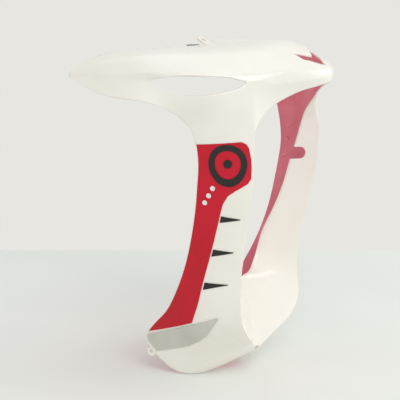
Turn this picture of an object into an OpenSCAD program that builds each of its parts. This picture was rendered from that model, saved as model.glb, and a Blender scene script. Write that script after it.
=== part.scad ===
// Front spoiler of a scooter: one moulded shell with two swept wings and two legs.
// X runs across, Y runs to the rear and Z up. The shell stands on its two lower edges at Z = 0.
// Every rail below is for the +X half, and the other half is its mirror image.

/* [Shell] */
// Wall of the moulding
wall = 2.5; // [2:0.1:3]
// Width over the widest part of the wings
wing_width = 364; // [300:1:420]
// Depth from the nose to the wing tips
body_depth = 311; // [260:1:360]
// Height of the crown of the hood over the ground
body_height = 484.8; // [420:0.1:540]

/* [Nose opening] */
// Half width of the arrow-shaped opening in the nose
arrow_half = 28; // [20:1:32]
// Length of the arrow-shaped opening from its point to its rear corners
arrow_len = 38; // [30:1:42]

/* [Lugs] */
// Thickness of the fixing lugs
lug_t = 3; // [2:0.5:4]
// Outer radius of the foot lugs
foot_lug_r = 7; // [6:0.5:9]
// Bore of the foot lugs
foot_bore = 5.5; // [4:0.5:6.5]
// Outer radius of the rear lug of the hood
rear_lug_r = 9.5; // [8:0.5:12]
// Bore of the rear lug of the hood
rear_bore = 8.5; // [6:0.5:10]

/* [Flange notch] */
// Half height of the round-ended notch in the inner flange of a leg
notch_r = 9; // [5:0.5:10]
// Reach of the notch from the edge of the flange
notch_len = 20; // [18:0.5:24]

/* [Decals] */
// Thickness of the decal film
film = 0.3; // [0.2:0.05:0.5]
// Outer radius of the ring on the red field
ring_r = 26; // [20:0.5:27]
// Width of the ring
ring_w = 8.5; // [5:0.5:10]

// Radius of the disc in the ring
hub_r = 6; // [4:0.5:8]
// Radius of the three white dots
dot_r = 3.5; // [2.5:0.25:4]

/* [Edge clip] */
// Thickness of the sheet
clip_sheet = 0.8; // [0.6:0.1:1.2]
// Width along the edge
clip_width = 12; // [8:0.5:16]
// Reach over the hood
clip_reach = 10; // [7:0.5:12]
// Gap between clip and hood
clip_gap = 0.3; // [0.25:0.05:0.5]

/* [Hidden] */

// Columns run from the centre plane (0) to the wing tip, and these are the ones with a name.
COL_FLANGE = 9;
COL_RIDGE = 13;
COL_REAR = 21;
COL_TIP = 36;
EYE_FRONT = 14;
EYE_BACK = 28;

// Rows of the hood and band, then rows of the leg.
ROW_CREASE = 8;
ROW_EYE_TOP = 9;
ROW_EYE_LOW = 12;
ROW_LIP = 17;
LEG_STEP = 3;
KEY_CLOSED = 9;
NOTCH_ROW = 25;
FOOT_LUG_KEY = 11.33;
REAR_LUG_TILT = 30;
CLIP_COL = 5;
CLIP_BACK = 4;
FIELD_REAR = 0.985;
RING_KEY = 1.98;
RING_SHARE = 0.46;
// Clear height of a film over what it lies on
SEAT = 0.4;
// The same where the foot bends more sharply
FOOT_SEAT = 0.7;
KEY_LAST = 14;

// Rear edge of the hood: column, then x, y, z
rear_rail = [
    [0, 0, 32, 472.5], [3, 16, 38, 473], [6, 34, 49, 473.5], [9, 50, 58, 473.2],
    [13, 66, 66, 472.4], [17, 84, 75, 471.6], [21, 102, 84, 471.2], [24, 118, 92, 470.9],
    [27, 136, 103, 469.8], [30, 154, 114, 466.2], [33, 168, 126, 458.7], [36, 177, 149, 443.8]];
// Brow of the hood, where it starts to fall to the crease
brow_rail = [
    [0, 0, -92, 484], [3, 24, -90, 482], [6, 46, -82, 479], [9, 66, -68, 476.8],
    [13, 84, -48, 475], [17, 104, -22, 473], [21, 123, 8, 471], [24, 138, 32, 468.9],
    [27, 152, 58, 465.9], [30, 164, 88, 461.1], [33, 173, 113, 453.3], [36, 178.2, 150, 442.8]];
// Crease between hood and band
crease_rail = [
    [0, 0, -158, 447.8], [3, 30, -147, 449], [6, 58, -129, 448.5], [9, 80, -109, 447.2],
    [13, 99, -89, 446], [17, 116, -66, 446.3], [21, 134, -38, 447.3], [24, 145, -9, 447],
    [27, 157, 25, 446.2], [30, 168, 66, 446.6], [33, 176, 102, 444], [36, 178.6, 150.5, 441.3]];
// Upper rim of the eye, carried on to the nose and the wing tip
eye_top_rail = [
    [0, 0, -159.5, 443.7], [4, 38, -145, 443.8], [9, 81, -111, 440.1], [14, 108, -84.5, 437],
    [17, 119, -65, 442.3], [21, 136, -37, 444.2], [24.5, 148.5, -6, 444.4],
    [28, 157, 34, 437.9], [32, 174, 84, 439.7], [36, 178.8, 150.7, 440.3]];
// Lower rim of the eye, carried on in the same way
eye_low_rail = [
    [0, 0, -160, 437.7], [4, 37, -146, 436.8], [9, 82, -111, 432.1], [14, 108.3, -84, 434.3],
    [16, 116, -77, 427.6], [19, 139, -51, 420.4], [21.5, 150, -29, 418.5], [24, 156, -9, 420.6],
    [26, 158.5, 14, 427], [28, 157.5, 35, 435.2], [32, 176, 84, 430.7], [36, 178.9, 150.8, 438.7]];
// Lower edge of the nose, up to the flange of the opening
lip_rail = [
    [0, 0, -158, 430.8], [3, 21, -146, 425.3], [6, 43, -129, 419], [9, 71, -105, 402],
    [11, 88, -97, 388], [13, 100, -94, 376.9]];
// Lower edge of the wing, from the leg to the tip
wing_rail = [
    [21, 131, -14, 371.4], [22, 140, -6, 384.2], [23.5, 150, 1, 393], [25.5, 165, 15, 404.3],
    [27.5, 174, 36, 410.4], [30, 180, 72, 413.3], [32, 182, 102, 417.8], [34, 181, 129, 428.3],
    [36, 179, 151, 436.8]];

// The leg from its shoulder to the prow: inner edge, ridge and outer edge at each key row
flange_rail = [
    [0, 71, -105, 402], [1, 85, -80, 376], [2, 84, -69, 338], [3, 79, -59, 299.5],
    [4, 75, -50, 263.1], [5, 67, -39, 228.8], [6, 56, -27, 195.7], [7, 44, -23, 164.4],
    [8, 24, -23, 141.3], [9, 0, -23, 137.1], [10, 0, -27, 111.4], [11, 0, -33, 81.7],
    [12, 0, -40, 59.9], [13, 0, -44, 44.1], [14, 0, -47, 36.2]];
ridge_rail = [
    [0, 100, -94, 376.9], [1, 102, -95, 356.9], [2, 102, -95, 331], [3, 101, -93, 296.3],
    [4, 98, -87, 263.7], [5, 94, -81, 232.2], [6, 91, -75, 199.7], [7, 90, -70.5, 170.2],
    [8, 90, -69.5, 145.5], [9, 92, -70, 120.8], [10, 91, -73, 96.1], [11, 70, -72, 71.1],
    [12, 38, -62, 52.6], [13, 17, -54, 39.5], [14, 7, -50, 33]];
outer_rail = [
    [0, 131, -14, 371.4], [1, 128, -20, 347.5], [2, 127, -22, 320.6], [3, 125, -19, 292.9],
    [4, 122, -15, 265.2], [5, 120, -10, 237.6], [6, 117, -3, 209.1], [7, 112, 8, 175.8],
    [8, 106, 25, 137.8], [9, 100, 46, 101.8], [10, 95, 74, 72.9], [11, 91, 88, 47.6],
    [11.5, 86, 66, 21.8], [12, 77, 47, 3.1], [12.5, 69, 22, 0], [13, 50, 7, 0.3],
    [13.5, 27, -8, 6.6], [14, 9, -32, 20.5]];

// Where the columns of the leg lie between its rails
FLANGE_SHARES = [0, 0.4, 0.74, 0.93, 1];
SIDE_SHARES = [0, 0.06, 0.18, 0.33, 0.48, 0.64, 0.8, 0.93, 1];
// How far the side of the leg bows out, and how far the flange bows in
SIDE_BOW = 6;
FLANGE_BOW = 2;

// The width, depth and height at which the rails are written
RAIL_SIZE = [364, 311, 484.8];
// What sets the rails in the middle of the depth and on the ground
RAIL_SHIFT = [4.5, 0.4];

ROW_LAST = ROW_LIP + LEG_STEP * KEY_LAST;
EPS = 0.001;

// A smooth curve through the listed points, read at one place along it
function segment(rail, c, k = 0) = k >= len(rail) - 2 || c < rail[k + 1][0] ? k : segment(rail, c, k + 1);
function place(p) = [
    p[1] * wing_width / RAIL_SIZE[0],
    (p[2] + RAIL_SHIFT[0]) * body_depth / RAIL_SIZE[1],
    (p[3] + RAIL_SHIFT[1]) * body_height / RAIL_SIZE[2]];
function slope(rail, k) =
    let (a = max(0, k - 1), b = min(len(rail) - 1, k + 1))
    (place(rail[b]) - place(rail[a])) / (rail[b][0] - rail[a][0]);
function along(rail, c) =
    let (k = segment(rail, c), h = rail[k + 1][0] - rail[k][0], t = (c - rail[k][0]) / h,
         t2 = t * t, t3 = t2 * t)
    place(rail[k]) * (2 * t3 - 3 * t2 + 1) + place(rail[k + 1]) * (3 * t2 - 2 * t3)
    + slope(rail, k) * h * (t3 - 2 * t2 + t) + slope(rail, k + 1) * h * (t3 - t2);

// A smooth step from b to c, with a and d as the points before and after
function between(a, b, c, d, t) =
    0.5 * (2 * b + (c - a) * t + (2 * a - 5 * b + 4 * c - d) * t * t
           + (3 * b - a - 3 * c + d) * t * t * t);

// Inner edge of the leg, which follows the centre plane below the opening
function inner_edge(key) = let (p = along(flange_rail, key)) key >= KEY_CLOSED ? [0, p[1], p[2]] : p;

// One point of the leg, with the ridge as its corner
function leg(key, j) =
    let (f = inner_edge(key), k = along(ridge_rail, key), r = along(outer_rail, key))
    j <= COL_RIDGE
        ? let (t = FLANGE_SHARES[j - COL_FLANGE], d = k - f, n = [d[1], -d[0], 0] / max(norm(d), 1))
          f + d * t - n * FLANGE_BOW * 4 * t * (1 - t)
        : let (t = SIDE_SHARES[j - COL_RIDGE], d = r - k, n = [d[1], -d[0], 0] / max(norm(d), 1))
          k + d * t + n * SIDE_BOW * 4 * t * (1 - t);

// Lower edge of the upper body at one column
function low_edge(j) =
    j <= COL_RIDGE ? along(lip_rail, j) : j <= COL_REAR ? leg(0, j) : along(wing_rail, j);
function beyond(j) = j >= COL_RIDGE && j <= COL_REAR ? leg(1, j) : 2 * low_edge(j) - along(eye_low_rail, j);

// One point of the upper body
function flatter(a, b, c, share) = a + (2 * b - c - a) * share;
function upper(i, j) =
    let (a = along(rear_rail, j), b = along(brow_rail, j), c = along(crease_rail, j),
         d = along(eye_top_rail, j), e = along(eye_low_rail, j), f = low_edge(j))
    i <= 4 ? between(2 * a - b, a, b, c, i / 4)
    : i <= ROW_CREASE
        ? between(flatter(a, b, c, j < COL_RIDGE ? 0.9 : 0.5), b, c, 2 * c - b, (i - 4) / (ROW_CREASE - 4))
    : i <= ROW_EYE_TOP ? d
    : i <= ROW_EYE_LOW ? d + (e - d) * (i - ROW_EYE_TOP) / (ROW_EYE_LOW - ROW_EYE_TOP)
    : between(d, e, f, beyond(j), (i - ROW_EYE_LOW) / (ROW_LIP - ROW_EYE_LOW));

function in_leg(j) = j >= COL_FLANGE && j <= COL_REAR;
grid = [for (i = [0:ROW_LAST]) [for (j = [0:COL_TIP])
    i <= ROW_LIP ? upper(i, j) : in_leg(j) ? leg((i - ROW_LIP) / LEG_STEP, j) : undef]];

// Is there wall between row i and i + 1 and column j and j + 1?
function wall_at(i, j) =
    i < 0 || j < 0 || i >= ROW_LAST || j >= COL_TIP ? false
    : i < ROW_LIP ? !(i >= ROW_EYE_TOP && i < ROW_EYE_LOW && j >= EYE_FRONT && j < EYE_BACK)
    : j >= COL_FLANGE && j < COL_REAR;

// Outward direction at a point, from the cells around it
function mirrored(p) = [-p[0], p[1], p[2]];
function cell_normal(i, j) =
    wall_at(i, j) ? cross(grid[i + 1][j] - grid[i][j + 1], grid[i + 1][j + 1] - grid[i][j]) : [0, 0, 0];
function on_centre(i, j) = abs(grid[i][j][0]) < EPS;
function normal(i, j) =
    let (s = cell_normal(i - 1, j - 1) + cell_normal(i - 1, j) + cell_normal(i, j - 1) + cell_normal(i, j),
         n = on_centre(i, j) ? [0, s[1], s[2]] : s)
    norm(n) < EPS ? [0, 0, 0] : n / norm(n);
function in_grid(i, j) = i <= ROW_LIP || in_leg(j);
normals = [for (i = [0:ROW_LAST]) [for (j = [0:COL_TIP]) in_grid(i, j) ? normal(i, j) : undef]];
inner = [for (i = [0:ROW_LAST]) [for (j = [0:COL_TIP])
    in_grid(i, j) ? grid[i][j] - wall * normals[i][j] : undef]];

// Points of one half in one list, outer ones first
cols = COL_TIP + 1;
total = cols * (ROW_LAST + 1);
function flat(g) = [for (i = [0:ROW_LAST]) for (j = [0:COL_TIP]) in_grid(i, j) ? g[i][j] : [0, 0, 0]];
half_points = concat(flat(grid), flat(inner));
function id(i, j, side) = side * total + i * cols + j;
function quad(a, b, c, d) = [[a, b, c], [a, c, d]];
function rim(i, j, m, n) = quad(id(i, j, 0), id(i, j, 1), id(m, n, 1), id(m, n, 0));
function centre_edge(i, j, m, n) = on_centre(i, j) && on_centre(m, n);
half_faces = [
    for (i = [0:ROW_LAST - 1]) for (j = [0:COL_TIP - 1]) if (wall_at(i, j)) each concat(
        quad(id(i, j, 0), id(i, j + 1, 0), id(i + 1, j + 1, 0), id(i + 1, j, 0)),
        quad(id(i, j, 1), id(i + 1, j, 1), id(i + 1, j + 1, 1), id(i, j + 1, 1)),
        wall_at(i - 1, j) ? [] : rim(i, j, i, j + 1),
        wall_at(i + 1, j) || centre_edge(i + 1, j, i + 1, j + 1) ? [] : rim(i + 1, j + 1, i + 1, j),
        wall_at(i, j - 1) || centre_edge(i, j, i + 1, j) ? [] : rim(i + 1, j, i, j),
        wall_at(i, j + 1) ? [] : rim(i, j + 1, i + 1, j + 1))];
function turned(f) = [f[0], f[2], f[1]];
both_points = concat(half_points, [for (p = half_points) mirrored(p)]);
both_faces = concat(half_faces, [for (f = half_faces) turned(f) + [1, 1, 1] * 2 * total]);

// Arrow-shaped opening, cut straight down through the hood behind the nose
ARROW_SLANT = 3;
ARROW_NOTCH = 17;
arrow_tip = grid[ROW_CREASE][0] + [0, 9, 0];
module arrow_cut() {
    translate([0, arrow_tip[1], arrow_tip[2] + 4]) linear_extrude(height = 60)
        polygon([[0, 0], [arrow_half - ARROW_SLANT, arrow_len - 16], [arrow_half, arrow_len],
                 [0, arrow_len - ARROW_NOTCH], [-arrow_half, arrow_len], [ARROW_SLANT - arrow_half, arrow_len - 16]]);
}

// Tilted lug at the middle of the hood's rear edge
rear_edge = grid[0][0];
rear_reach = rear_lug_r + 3;
module at_rear_lug() {
    translate(rear_edge) rotate([REAR_LUG_TILT, 0, 0]) translate([0, rear_reach, 0]) children();
}
module rear_lug() {
    at_rear_lug() union() {
        cylinder(r = rear_lug_r, h = lug_t, center = true, $fn = 48);
        translate([-rear_lug_r, -rear_reach - wall, -lug_t / 2]) cube([2 * rear_lug_r, rear_reach + wall, lug_t]);
    }
}

// Upright lugs at the rear edge of each foot, in line with the wall
foot_edge = along(outer_rail, FOOT_LUG_KEY);
foot_centre = foot_edge + [-wall / 2, foot_lug_r * 0.7, 0];
module foot_lug() {
    translate(foot_centre) rotate([0, 90, 0]) cylinder(r = foot_lug_r, h = lug_t, center = true, $fn = 48);
    translate(foot_centre + [-lug_t / 2, -foot_lug_r * 0.7 - wall, -foot_lug_r * 0.6])
        cube([lug_t, foot_lug_r * 0.7 + wall, foot_lug_r * 1.2]);
}
module foot_hole() {
    translate(foot_centre) rotate([0, 90, 0]) cylinder(d = foot_bore, h = 4 * lug_t, center = true, $fn = 48);
}

// Round-ended notch in the inner flange of each leg
notch_edge = grid[NOTCH_ROW][COL_FLANGE];
notch_dir = grid[NOTCH_ROW][COL_RIDGE] - notch_edge;
module notch_cut() {
    translate(notch_edge) rotate([0, 0, atan2(notch_dir[1], notch_dir[0])]) rotate([90, 0, 0])
        linear_extrude(height = 30, center = true) union() {
            translate([notch_len - notch_r, 0]) circle(r = notch_r, $fn = 36);
            translate([-10, -notch_r]) square([10 + notch_len - notch_r, 2 * notch_r]);
        }
}

module both_sides() {
    children();
    mirror([1, 0, 0]) children();
}

module spoiler_shell() {
    color([0.96, 0.95, 0.92]) difference() {
        union() {
            polyhedron(both_points, both_faces, convexity = 12);
            rear_lug();
            both_sides() foot_lug();
        }
        arrow_cut();
        at_rear_lug() cylinder(d = rear_bore, h = 4 * lug_t, center = true, $fn = 48);
        both_sides() foot_hole();
        both_sides() notch_cut();
    }
}

// A point over the side of the leg at a key row, a share from ridge to rear edge, and a height
function share_step(t, k = 0) = k >= len(SIDE_SHARES) - 2 || t < SIDE_SHARES[k + 1] ? k : share_step(t, k + 1);
function mix(a, b, t) = a + (b - a) * t;
function mix4(g, i, j, u, t) = mix(mix(g[i][j], g[i][j + 1], t), mix(g[i + 1][j], g[i + 1][j + 1], t), u);
function over_side(key, share, lift) =
    let (r = ROW_LIP + key * LEG_STEP, i = floor(r), k = share_step(share), j = COL_RIDGE + k,
         t = (share - SIDE_SHARES[k]) / (SIDE_SHARES[k + 1] - SIDE_SHARES[k]), n = mix4(normals, i, j, r - i, t))
    mix4(grid, i, j, r - i, t) + lift * n / norm(n);

// A list with a point halfway between each two
function finer(list) = [for (i = [0:2 * len(list) - 2])
    i % 2 == 0 ? list[i / 2] : (list[(i - 1) / 2] + list[(i + 1) / 2]) / 2];

// A film between two lists of [key row, share], in n strips, on the +X leg
module patch(front, back, n, lift, closed = false) {
    m = len(front);
    rows = closed ? m : m - 1;
    points = [for (l = [0, 1]) for (i = [0:m - 1]) for (c = [0:n])
        let (p = mix(front[i], back[i], c / n)) over_side(p[0], p[1], lift + (1 - l) * film)];
    layer = m * (n + 1);
    at = function(l, i, c) l * layer + (i % m) * (n + 1) + c;
    faces = [
        for (i = [0:rows - 1]) each concat(
            [for (c = [0:n - 1]) each concat(
                quad(at(0, i, c), at(0, i, c + 1), at(0, i + 1, c + 1), at(0, i + 1, c)),
                quad(at(1, i, c), at(1, i + 1, c), at(1, i + 1, c + 1), at(1, i, c + 1)))],
            quad(at(0, i + 1, 0), at(1, i + 1, 0), at(1, i, 0), at(0, i, 0)),
            quad(at(0, i, n), at(1, i, n), at(1, i + 1, n), at(0, i + 1, n))),
        if (!closed) each [for (c = [0:n - 1]) each concat(
            quad(at(0, 0, c), at(1, 0, c), at(1, 0, c + 1), at(0, 0, c + 1)),
            quad(at(0, m - 1, c + 1), at(1, m - 1, c + 1), at(1, m - 1, c), at(0, m - 1, c)))]];
    polyhedron(points, faces, convexity = 4);
}
module on_left() { mirror([1, 0, 0]) children(); }

// Outline of the red field: key row and share of its front edge, then the key row of its rear edge
red_rows = [
    [0.92, 0.22, 0.86], [1.08, 0.14, 1.02], [1.3, 0.1, 1.2], [1.9, 0.06, 1.7], [2.3, 0.05, 2.2],
    [2.7, 0.05, 2.6], [2.89, 0.1, 2.85], [3.18, 0.3, 3.1], [3.41, 0.42, 3.4], [3.79, 0.49, 3.8],
    [4.2, 0.515, 4.25], [4.6, 0.53, 4.7], [5.1, 0.55, 5.2], [5.6, 0.565, 5.75], [6.1, 0.58, 6.3],
    [6.6, 0.59, 6.85], [7.1, 0.6, 7.4], [7.6, 0.6, 7.95], [8.1, 0.59, 8.5], [8.6, 0.575, 9.05],
    [9.1, 0.565, 9.6], [9.75, 0.54, 10.4]];
module red_decal() {
    color([0.78, 0.12, 0.17]) on_left()
        patch(finer([for (r = red_rows) [r[0], r[1]]]), finer([for (r = red_rows) [r[2], FIELD_REAR]]), 6, SEAT);
}

// Lower and upper outline of the silver field, from its front point to the rear edge of the leg
silver_low = [[9.62, 0.25], [10.14, 0.31], [10.7, 0.37], [11.05, 0.46], [11.2, 0.58], [11.26, 0.7],
              [11.28, 0.84], [11.3, 0.96]];
silver_top = [[9.5, 0.26], [9.66, 0.36], [9.78, 0.45], [9.88, 0.53], [10, 0.62], [10.17, 0.72],
              [10.38, 0.84], [10.62, 0.975]];
module silver_decal() {
    color([0.72, 0.71, 0.67]) on_left() patch(finer(silver_low), finer(silver_top), 8, FOOT_SEAT);
}

// Pointed decals on the white beside the red field: point, then upper and lower corner
spikes = [[[4.48, 0.15], [4.38, 0.5], [4.7, 0.51]], [[6.02, 0.19], [6.02, 0.555], [6.36, 0.565]],
          [[7.66, 0.2], [7.6, 0.575], [7.95, 0.57]]];
module spike_decals() {
    color([0.13, 0.12, 0.11]) on_left() for (s = spikes)
        patch([s[0], s[0] + [0.03, 0]], [s[1], s[2]], 5, SEAT);
}

// Round field: a plain ring and disc, with three dots beside it
side_mm = over_side(RING_KEY, 1, 0) - over_side(RING_KEY, 0, 0);
key_mm = over_side(RING_KEY - 1, 0.5, 0)[2] - over_side(RING_KEY, 0.5, 0)[2];
function off_ring(r, a) =
    let (share = r * cos(a) / norm([side_mm[0], side_mm[1]]))
    [RING_KEY + (r * sin(a) + side_mm[2] * share) / key_mm, RING_SHARE + share];
function circle_at(r) = [for (a = [0:10:350]) off_ring(r, a)];
module disc_at(q, r) {
    p = over_side(q[0], q[1], SEAT + film + SEAT);
    n = p - over_side(q[0], q[1], 0);
    translate(p) rotate([0, acos(n[2] / norm(n)), atan2(n[1], n[0])]) cylinder(r = r, h = film, $fn = 32);
}
module ring_decal() {
    color([0.13, 0.12, 0.11]) on_left() {
        patch(circle_at(ring_r - ring_w), circle_at(ring_r), 1, 2 * SEAT + film, closed = true);
        disc_at([RING_KEY, RING_SHARE], hub_r);
    }
}
module dot_decals() {
    color([0.95, 0.94, 0.92]) on_left() for (k = [0:2]) disc_at([3.05 + 0.36 * k, 0.7 + 0.06 * k], dot_r);
}

// Spring clip pushed on to the rear edge of the hood beside the middle lug
clip_at = grid[0][CLIP_COL];
clip_in = (grid[1][CLIP_COL] - clip_at) / norm(grid[1][CLIP_COL] - clip_at);
clip_up = normals[0][CLIP_COL];
clip_side = cross(clip_in, clip_up);
module edge_clip() {
    gap = wall + 2 * clip_gap;
    color([0.16, 0.15, 0.14]) on_left()
        multmatrix([for (r = [0:2]) [clip_in[r], clip_up[r], clip_side[r], clip_at[r]]])
        translate([-CLIP_BACK - clip_sheet, -wall / 2, -clip_width / 2]) linear_extrude(height = clip_width)
        difference() {
            translate([0, -gap / 2 - clip_sheet]) square([clip_reach + CLIP_BACK, gap + 2 * clip_sheet]);
            translate([clip_sheet, -gap / 2]) square([clip_reach + CLIP_BACK, gap]);
        }
}

spoiler_shell();
red_decal();
silver_decal();
spike_decals();
ring_decal();
dot_decals();
edge_clip();
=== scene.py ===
"""Scooter front spoiler: finishes, a rounded two-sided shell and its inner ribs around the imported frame."""
import math

import bmesh
import bpy
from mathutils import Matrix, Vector
from mathutils.bvhtree import BVHTree


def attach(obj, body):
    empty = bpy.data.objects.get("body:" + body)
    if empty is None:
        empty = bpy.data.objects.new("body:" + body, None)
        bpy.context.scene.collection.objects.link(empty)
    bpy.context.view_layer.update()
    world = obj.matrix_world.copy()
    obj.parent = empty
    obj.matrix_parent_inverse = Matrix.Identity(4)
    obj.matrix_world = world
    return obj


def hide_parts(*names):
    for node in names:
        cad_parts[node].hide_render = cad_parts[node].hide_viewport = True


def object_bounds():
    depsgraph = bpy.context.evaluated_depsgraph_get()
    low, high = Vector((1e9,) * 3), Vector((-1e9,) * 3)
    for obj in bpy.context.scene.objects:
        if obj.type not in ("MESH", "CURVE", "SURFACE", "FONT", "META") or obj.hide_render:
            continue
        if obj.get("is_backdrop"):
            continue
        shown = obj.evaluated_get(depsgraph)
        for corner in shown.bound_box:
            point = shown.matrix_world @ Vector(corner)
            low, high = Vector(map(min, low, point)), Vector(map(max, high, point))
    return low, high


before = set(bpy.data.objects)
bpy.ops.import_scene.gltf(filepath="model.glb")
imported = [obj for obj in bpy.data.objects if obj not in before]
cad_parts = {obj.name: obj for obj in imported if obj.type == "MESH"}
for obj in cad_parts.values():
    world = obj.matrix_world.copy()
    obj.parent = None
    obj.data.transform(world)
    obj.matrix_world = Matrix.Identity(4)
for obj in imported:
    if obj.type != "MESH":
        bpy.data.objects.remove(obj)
CAD_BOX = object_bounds()
scene = bpy.context.scene

# Camera, fitted to the photograph (degrees, metres, millimetres of lens)
AZIMUTH, ELEVATION, DISTANCE = -60, 12, 1.77
TARGET = Vector((0, 0.0525, 0.2446))
LENS, SENSOR, CLIP_END = 108, 36, 50

# Shell
WELD = 0.00002
JOIN_FACE_ANGLE, JOIN_SHAPE_ANGLE = math.radians(30), math.radians(50)
SHARP = math.radians(38)
SHARP_CREASE = 0.85
ROUNDING_LEVELS = 2
NARROW = 0.0017  # a skin with less area than this for each metre of border is a cut edge
OUTSIDE_SLOT, INSIDE_SLOT = 0, 1

# Middle of the hollow inside a leg: height, distance from the centre plane, y
LEG_HOLLOW = (
    (0.0, 0.045, 0.008),
    (0.10, 0.062, -0.005),
    (0.17, 0.080, -0.020),
    (0.24, 0.092, -0.035),
    (0.33, 0.100, -0.045),
    (0.38, 0.098, -0.040),
)
LEG_HOLLOW_FOOT = 0.06
HOOD_FROM, HOOD_HOLLOW = 0.40, 0.425
HOOD_X_SHARE, HOOD_Y_SHARE, HOOD_Y_SHIFT = 0.55, 0.5, 0.03

# Foot of the prow, where the CAD leaves a gap between the lower edges
TIP_HALF, TIP_BACK, TIP_TOP, TIP_LEVEL = 0.0045, -0.039, 0.0372, 0.0342
PROW_PAINT_HALF, PROW_PAINT_TOP = 0.012, 0.046

# Ribs and boss on a leg's inner face: (y, z) of each rib's two ends and of the boss
RIB_ENDS = (((-0.026, 0.3438), (-0.044, 0.3554)), ((-0.0166, 0.2971), (-0.0383, 0.3077)))
BOSS_AT = (-0.0283, 0.3249)
RIB_HALF, RIB_HEIGHT, RIB_SUNK = 0.0022, 0.0017, 0.0004
RIB_STEPS, RIB_TAPER = 14, 1 / 6
RIB_PROFILE = ((-1, 0), (-0.7, 0.75), (0, 1), (0.7, 0.75), (1, 0))  # shares of half width and height
BOSS_PROFILE = ((0.0034, 0), (0.0031, 0.85), (0.0026, 1))  # radius, share of the height
BOSS_SIDES = 24
CAST_FROM = 0.09

# Stage
FLOOR_REACH, FLOOR_BEHIND, FLOOR_DROP = 8, 0.68, 0.0002
WALL_COLOUR = (231, 230, 225)
WORLD_STRENGTH = 0.59


def make_camera():
    """The camera at the photograph's angle. Returns the direction from the target to it."""
    azimuth, elevation = math.radians(AZIMUTH), math.radians(ELEVATION)
    toward = Vector((math.sin(azimuth) * math.cos(elevation),
                     -math.cos(azimuth) * math.cos(elevation),
                     math.sin(elevation)))
    camera = bpy.data.objects.new("camera", bpy.data.cameras.new("camera"))
    camera.data.lens = LENS
    camera.data.sensor_width = SENSOR
    camera.data.clip_end = CLIP_END
    camera.location = TARGET + DISTANCE * toward
    camera.rotation_euler = (-toward).to_track_quat("-Z", "Y").to_euler()
    scene.collection.objects.link(camera)
    scene.camera = camera
    scene.view_settings.view_transform = "Standard"
    return toward


def linear(rgb):
    """An 0 to 255 sRGB colour as linear values."""
    return [((c / 255 + 0.055) / 1.055) ** 2.4 if c > 10 else c / 255 / 12.92 for c in rgb]


def plastic(name, low, high, scale, roughness, spread, coat=0.0, bump=0.02, grain=900):
    """Moulded plastic or film: soft colour drift, uneven gloss and a fine surface grain."""
    mat = bpy.data.materials.new(name)
    mat.use_nodes = True
    nodes, links = mat.node_tree.nodes, mat.node_tree.links
    shader = nodes["Principled BSDF"]
    coords = nodes.new("ShaderNodeTexCoord")

    drift = nodes.new("ShaderNodeTexNoise")
    drift.inputs["Scale"].default_value = scale
    drift.inputs["Detail"].default_value = 3
    links.new(coords.outputs["Object"], drift.inputs["Vector"])
    ramp = nodes.new("ShaderNodeValToRGB")
    for stop, position, colour in zip(ramp.color_ramp.elements, (0.35, 0.65), (low, high)):
        stop.position = position
        stop.color = (*linear(colour), 1)
    links.new(drift.outputs["Fac"], ramp.inputs["Fac"])
    links.new(ramp.outputs["Color"], shader.inputs["Base Color"])

    gloss = nodes.new("ShaderNodeMapRange")
    gloss.inputs["To Min"].default_value = roughness - spread
    gloss.inputs["To Max"].default_value = roughness + spread
    links.new(drift.outputs["Fac"], gloss.inputs["Value"])
    links.new(gloss.outputs["Result"], shader.inputs["Roughness"])

    fine = nodes.new("ShaderNodeTexNoise")
    fine.inputs["Scale"].default_value = grain
    fine.inputs["Detail"].default_value = 2
    links.new(coords.outputs["Object"], fine.inputs["Vector"])
    relief = nodes.new("ShaderNodeBump")
    relief.inputs["Strength"].default_value = bump
    relief.inputs["Distance"].default_value = 0.0004
    links.new(fine.outputs["Fac"], relief.inputs["Height"])
    links.new(relief.outputs["Normal"], shader.inputs["Normal"])

    shader.inputs["Coat Weight"].default_value = coat
    shader.inputs["Coat Roughness"].default_value = 0.08
    return mat


def hollow_point(p):
    """A point inside the hollow of the shell, level with p."""
    if p.z > HOOD_FROM:
        return Vector((HOOD_X_SHARE * p.x, HOOD_Y_SHARE * p.y + HOOD_Y_SHIFT, HOOD_HOLLOW))
    side = 1 if p.x >= 0 else -1
    z = max(p.z, LEG_HOLLOW_FOOT)
    for low, high in zip(LEG_HOLLOW, LEG_HOLLOW[1:]):
        if z <= high[0]:
            t = (z - low[0]) / (high[0] - low[0])
            return Vector((side * (low[1] + t * (high[1] - low[1])), low[2] + t * (high[2] - low[2]), z))
    return Vector((side * LEG_HOLLOW[-1][1], LEG_HOLLOW[-1][2], z))


def skins(bm):
    """Stretches of faces with no sharp edge between them."""
    seen = set()
    for first in bm.faces:
        if first.index in seen:
            continue
        skin, stack = [], [first]
        seen.add(first.index)
        while stack:
            face = stack.pop()
            skin.append(face)
            for edge in face.edges:
                if len(edge.link_faces) == 2 and edge.calc_face_angle(0) < SHARP:
                    for other in edge.link_faces:
                        if other.index not in seen:
                            seen.add(other.index)
                            stack.append(other)
        yield skin


def is_cut_edge(skin):
    members = {face.index for face in skin}
    border = sum(edge.calc_length() for face in skin for edge in face.edges
                 if any(other.index not in members for other in edge.link_faces))
    return border > 0 and sum(face.calc_area() for face in skin) / border < NARROW


def faces_out(skin):
    """True where more of the skin's area looks away from the hollow than into it."""
    vote = 0
    for face in skin:
        middle = face.calc_center_median()
        away = (middle - hollow_point(middle)).dot(face.normal) > 0
        vote += face.calc_area() * (1 if away else -1)
    return vote > 0


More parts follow.
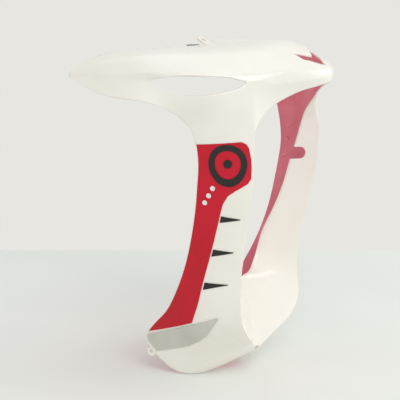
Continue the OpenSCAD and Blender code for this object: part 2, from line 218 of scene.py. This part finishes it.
def make_shell(cad, outside, inside):
    """The moulded shell: the CAD form with rounded facets and two sides."""
    shell = bpy.data.objects.new("moulded_shell", cad.data.copy())
    scene.collection.objects.link(shell)
    shell.data.materials.clear()
    shell.data.materials.append(outside)
    shell.data.materials.append(inside)

    bm = bmesh.new()
    bm.from_mesh(shell.data)
    bmesh.ops.remove_doubles(bm, verts=bm.verts, dist=WELD)
    bmesh.ops.join_triangles(bm, faces=bm.faces, angle_face_threshold=JOIN_FACE_ANGLE,
                             angle_shape_threshold=JOIN_SHAPE_ANGLE)

    # The top of the gap at the foot of the prow is drawn down, which narrows it and doesn't close it
    for v in bm.verts:
        if abs(v.co.x) < TIP_HALF and v.co.y < TIP_BACK and v.co.z < TIP_TOP:
            v.co.z = TIP_LEVEL
    bm.normal_update()
    bm.faces.ensure_lookup_table()

    for skin in skins(bm):
        slot = OUTSIDE_SLOT if is_cut_edge(skin) or faces_out(skin) else INSIDE_SLOT
        for face in skin:
            face.material_index = slot
            face.smooth = True

    # The inside round that gap is painted as the outside, so that it shows less
    for face in bm.faces:
        middle = face.calc_center_median()
        if abs(middle.x) < PROW_PAINT_HALF and middle.z < PROW_PAINT_TOP:
            face.material_index = OUTSIDE_SLOT

    crease = bm.edges.layers.float.get("crease_edge") or bm.edges.layers.float.new("crease_edge")
    for edge in bm.edges:
        if len(edge.link_faces) != 2 or edge.calc_face_angle(0) > SHARP:
            edge[crease] = SHARP_CREASE
    bm.to_mesh(shell.data)
    bm.free()

    rounding = shell.modifiers.new("rounding", "SUBSURF")
    rounding.levels = ROUNDING_LEVELS
    rounding.render_levels = ROUNDING_LEVELS
    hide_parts("spoiler_shell")
    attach(shell, "root")


def bridge(bm, loops):
    """Joins closed loops of vertices into one closed form."""
    for first, second in zip(loops, loops[1:]):
        for i in range(len(first)):
            j = (i + 1) % len(first)
            bm.faces.new((first[i], first[j], second[j], second[i]))
    bm.faces.new(loops[0])
    bm.faces.new(loops[-1])


def make_ribs(cad, material):
    """Two slanted ribs and a small boss on the inner face of each leg, seated on the CAD skin."""
    skin_tree = BVHTree.FromPolygons([v.co for v in cad.data.vertices],
                                     [p.vertices for p in cad.data.polygons])

    def inner_skin(side, y, z):
        """The point and normal where a line from the middle of the part meets the leg's inner face."""
        start = Vector((side * CAST_FROM, y, z))
        point, normal, _, _ = skin_tree.ray_cast(start, Vector((side, 0, 0)))
        if point is None:
            raise SystemExit("no leg at the rib")
        return point, normal

    bm = bmesh.new()
    for side in (-1, 1):
        for low, high in RIB_ENDS:
            along = Vector((0, high[0] - low[0], high[1] - low[1])).normalized()
            rows = []
            for step in range(RIB_STEPS + 1):
                t = step / RIB_STEPS
                y, z = (start + t * (end - start) for start, end in zip(low, high))
                point, normal = inner_skin(side, y, z)
                across = normal.cross(along).normalized()
                from_end = min(t, 1 - t)
                taper = math.sin(math.pi / 2 * from_end / RIB_TAPER) if from_end < RIB_TAPER else 1
                rows.append([bm.verts.new(point + across * (RIB_HALF * u)
                                          + normal * (RIB_HEIGHT * v * taper - RIB_SUNK))
                             for u, v in RIB_PROFILE])
            bridge(bm, rows)

        point, normal = inner_skin(side, *BOSS_AT)
        right = normal.cross(Vector((0, 0, 1))).normalized()
        up = normal.cross(right)
        turns = [math.tau * k / BOSS_SIDES for k in range(BOSS_SIDES)]
        bridge(bm, [[bm.verts.new(point + normal * (RIB_HEIGHT * share - RIB_SUNK)
                                  + right * (radius * math.cos(turn))
                                  + up * (radius * math.sin(turn))) for turn in turns]
                    for radius, share in BOSS_PROFILE])
    bmesh.ops.recalc_face_normals(bm, faces=bm.faces)
    for face in bm.faces:
        face.smooth = len(face.verts) == 4

    mesh = bpy.data.meshes.new("inside_ribs")
    bm.to_mesh(mesh)
    bm.free()
    ribs = bpy.data.objects.new("inside_ribs", mesh)
    mesh.materials.append(material)
    scene.collection.objects.link(ribs)
    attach(ribs, "root")


def make_floor(toward, material):
    """A pale floor that ends where the photograph's floor meets the wall."""
    back = Vector((-toward.x, -toward.y, 0)).normalized()
    across = Vector((-back.y, back.x, 0))
    corners = ((-FLOOR_REACH, -FLOOR_REACH), (-FLOOR_REACH, FLOOR_REACH),
               (FLOOR_BEHIND, FLOOR_REACH), (FLOOR_BEHIND, -FLOOR_REACH))
    bm = bmesh.new()
    plane = bm.faces.new([bm.verts.new(back * depth + across * width - Vector((0, 0, FLOOR_DROP)))
                          for depth, width in corners])
    bm.normal_update()
    if plane.normal.z < 0:
        bmesh.ops.reverse_faces(bm, faces=[plane])
    mesh = bpy.data.meshes.new("floor")
    bm.to_mesh(mesh)
    bm.free()
    floor = bpy.data.objects.new("floor", mesh)
    mesh.materials.append(material)
    scene.collection.objects.link(floor)
    floor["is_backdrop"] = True


def lamp(name, place, aim, size, power):
    data = bpy.data.lights.new(name, "AREA")
    data.shape = "SQUARE"
    data.size = size
    data.energy = power
    obj = bpy.data.objects.new(name, data)
    obj.location = place
    obj.rotation_euler = (Vector(aim) - Vector(place)).to_track_quat("-Z", "Y").to_euler()
    scene.collection.objects.link(obj)


def make_world():
    """White light all round, with the wall's colour for what the camera and reflections see."""
    world = bpy.data.worlds.new("studio")
    world.use_nodes = True
    nodes, links = world.node_tree.nodes, world.node_tree.links
    light = nodes["Background"]
    light.inputs["Color"].default_value = (1, 1, 1, 1)
    light.inputs["Strength"].default_value = WORLD_STRENGTH
    wall = nodes.new("ShaderNodeBackground")
    wall.inputs["Color"].default_value = (*linear(WALL_COLOUR), 1)
    wall.inputs["Strength"].default_value = 1
    rays = nodes.new("ShaderNodeLightPath")
    either = nodes.new("ShaderNodeMath")
    either.operation = "MAXIMUM"
    links.new(rays.outputs["Is Camera Ray"], either.inputs[0])
    links.new(rays.outputs["Is Glossy Ray"], either.inputs[1])
    choose = nodes.new("ShaderNodeMixShader")
    links.new(either.outputs[0], choose.inputs["Fac"])
    links.new(light.outputs[0], choose.inputs[1])
    links.new(wall.outputs[0], choose.inputs[2])
    links.new(choose.outputs[0], nodes["World Output"].inputs["Surface"])
    scene.world = world


toward_camera = make_camera()

white = plastic("gloss_white", (245, 241, 230), (250, 247, 239), 9, 0.24, 0.05, coat=0.5, bump=0.03)
pink = plastic("pink_red_inside", (228, 120, 140), (245, 156, 170), 14, 0.5, 0.08, bump=0.12, grain=500)
# The ribs' pink is a lighter copy of the inside pink: a painted highlight for the light the ribs catch
rib_pink_highlit = plastic("rib_pink_painted_highlight", (234, 140, 150), (246, 166, 172), 14, 0.5, 0.08, bump=0.12, grain=500)
red = plastic("red_film", (196, 6, 34), (208, 10, 42), 12, 0.34, 0.05, coat=0.08, bump=0.04)
silver = plastic("silver_film", (200, 198, 187), (212, 210, 200), 16, 0.38, 0.06, coat=0.2, bump=0.06,
                 grain=1400)
black = plastic("black_film", (26, 24, 22), (36, 32, 29), 16, 0.34, 0.06, coat=0.2, bump=0.05)
dots = plastic("white_film", (238, 235, 230), (246, 243, 238), 16, 0.3, 0.05, coat=0.2, bump=0.05)
steel = plastic("black_steel", (34, 32, 30), (58, 54, 48), 60, 0.42, 0.12, bump=0.2, grain=700)
for material, socket, value in ((steel, "Metallic", 0.6),
                                (red, "Specular IOR Level", 0.3),
                                (black, "Specular IOR Level", 0.3)):
    material.node_tree.nodes["Principled BSDF"].inputs[socket].default_value = value

for node, material in (("red_decal", red), ("silver_decal", silver), ("spike_decals", black),
                       ("ring_decal", black), ("dot_decals", dots), ("edge_clip", steel)):
    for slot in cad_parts[node].material_slots:
        slot.material = material

make_shell(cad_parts["spoiler_shell"], white, pink)
make_ribs(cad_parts["spoiler_shell"], rib_pink_highlit)
make_floor(toward_camera, plastic("pale_floor", (238, 242, 237), (244, 247, 242), 2, 0.75, 0.08,
                                  bump=0.02, grain=80))

# Soft studio light
lamp("key", (-2.4, -2.56, 3.4), (0, 0, 0.25), 2.6, 58)
lamp("fill", (2.4, -3.6, 2.0), (0, 0, 0.25), 3.0, 50)
lamp("top", (0, 0.3, 3.6), (0, 0, 0.3), 3.0, 12)
make_world()

bpy.context.view_layer.update()
plain = lambda box: [[float(v) for v in corner] for corner in box]
{"cad": plain(CAD_BOX), "visual": plain(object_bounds())}
